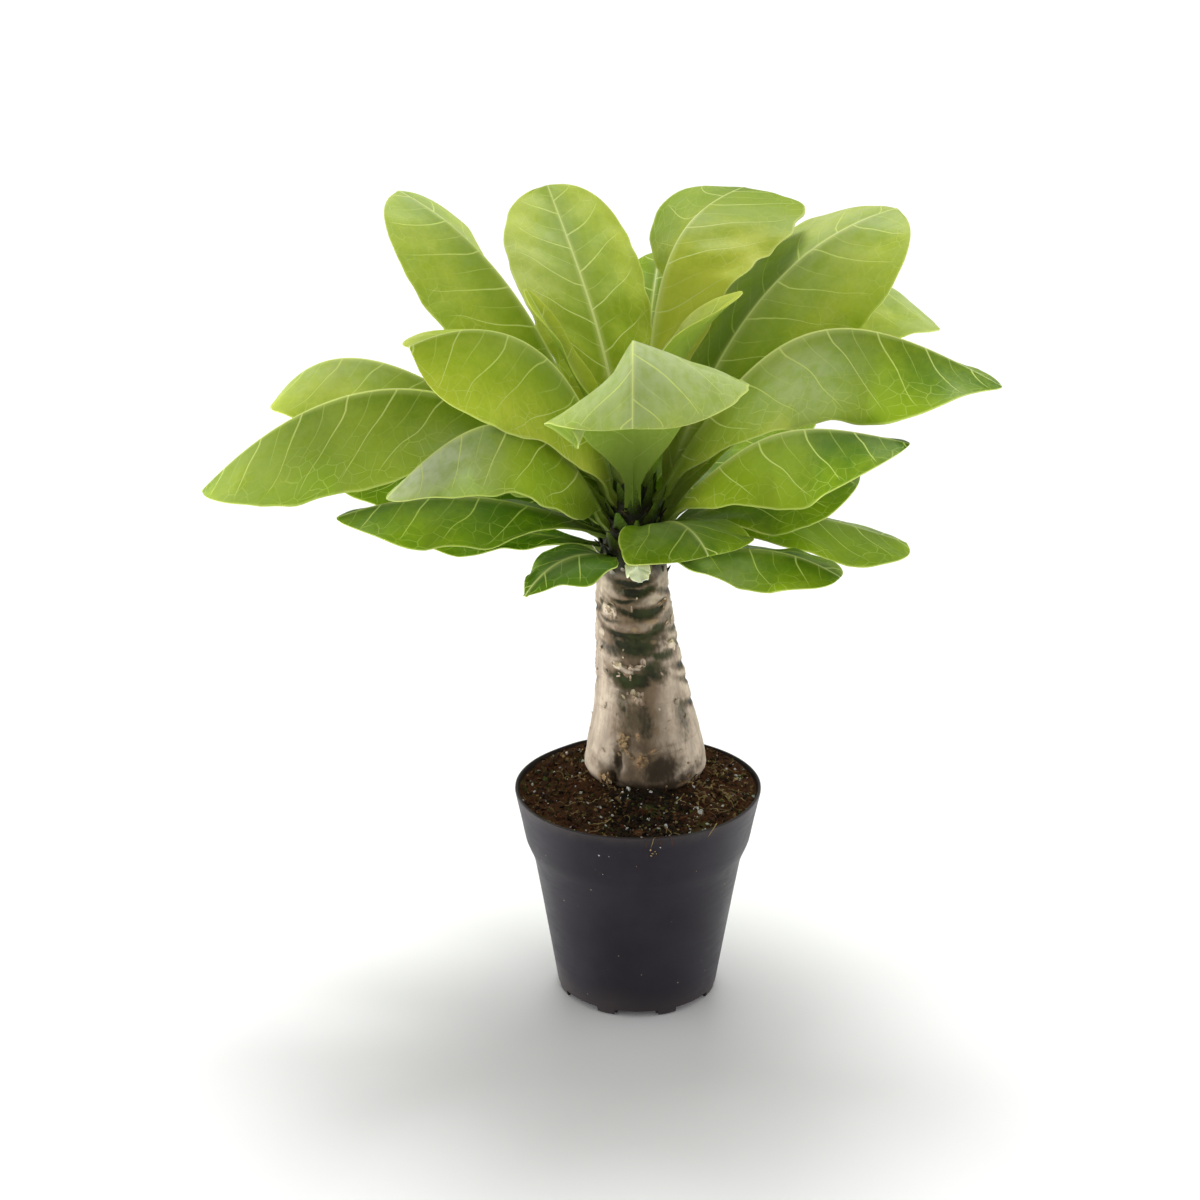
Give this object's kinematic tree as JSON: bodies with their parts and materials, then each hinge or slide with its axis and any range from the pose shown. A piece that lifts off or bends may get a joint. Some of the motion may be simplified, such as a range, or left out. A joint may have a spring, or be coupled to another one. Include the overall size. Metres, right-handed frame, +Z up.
{
  "type": "potted hawaiian palm",
  "caption": "Hawaiian palm, a caudex succulent: swollen bare trunk with a rosette of broad obovate leaves, standing in a black plastic nursery pot of peat soil.",
  "frame": {"origin": "middle of the flat pad under the pot, at the height of the pot's feet", "axes": "+Z up along the pot's axis, -Y towards the viewer of the pictured side, +X to that viewer's right"},
  "size_m": [0.4016, 0.2806, 0.4095],
  "materials": {
    "pot_plastic": "semi-matt black, dusty",
    "soil_peat": "moist crumbly peat with perlite",
    "trunk_bark": "smooth corky bark with leaf scars",
    "leaf_green": "soft satin, slightly translucent"
  },
  "bodies": {
    "root": {"pot": "pot_plastic", "soil": "soil_peat", "trunk": "trunk_bark", "leaf_01": "leaf_green", "leaf_02": "leaf_green", "leaf_03": "leaf_green", "leaf_04": "leaf_green", "leaf_05": "leaf_green", "leaf_06": "leaf_green", "leaf_07": "leaf_green", "leaf_08": "leaf_green", "leaf_09": "leaf_green", "leaf_10": "leaf_green", "leaf_11": "leaf_green", "leaf_12": "leaf_green", "leaf_13": "leaf_green", "leaf_14": "leaf_green", "leaf_15": "leaf_green", "leaf_16": "leaf_green", "leaf_17": "leaf_green", "leaf_18": "leaf_green", "leaf_19": "leaf_green", "leaf_20": "leaf_green", "leaf_21": "leaf_green", "leaf_22": "leaf_green", "leaf_23": "leaf_green", "leaf_24": "leaf_green", "leaf_25": "leaf_green", "leaf_26": "leaf_green", "leaf_27": "leaf_green", "leaf_28": "leaf_green", "leaf_29": "leaf_green"}
  },
  "joints": []
}
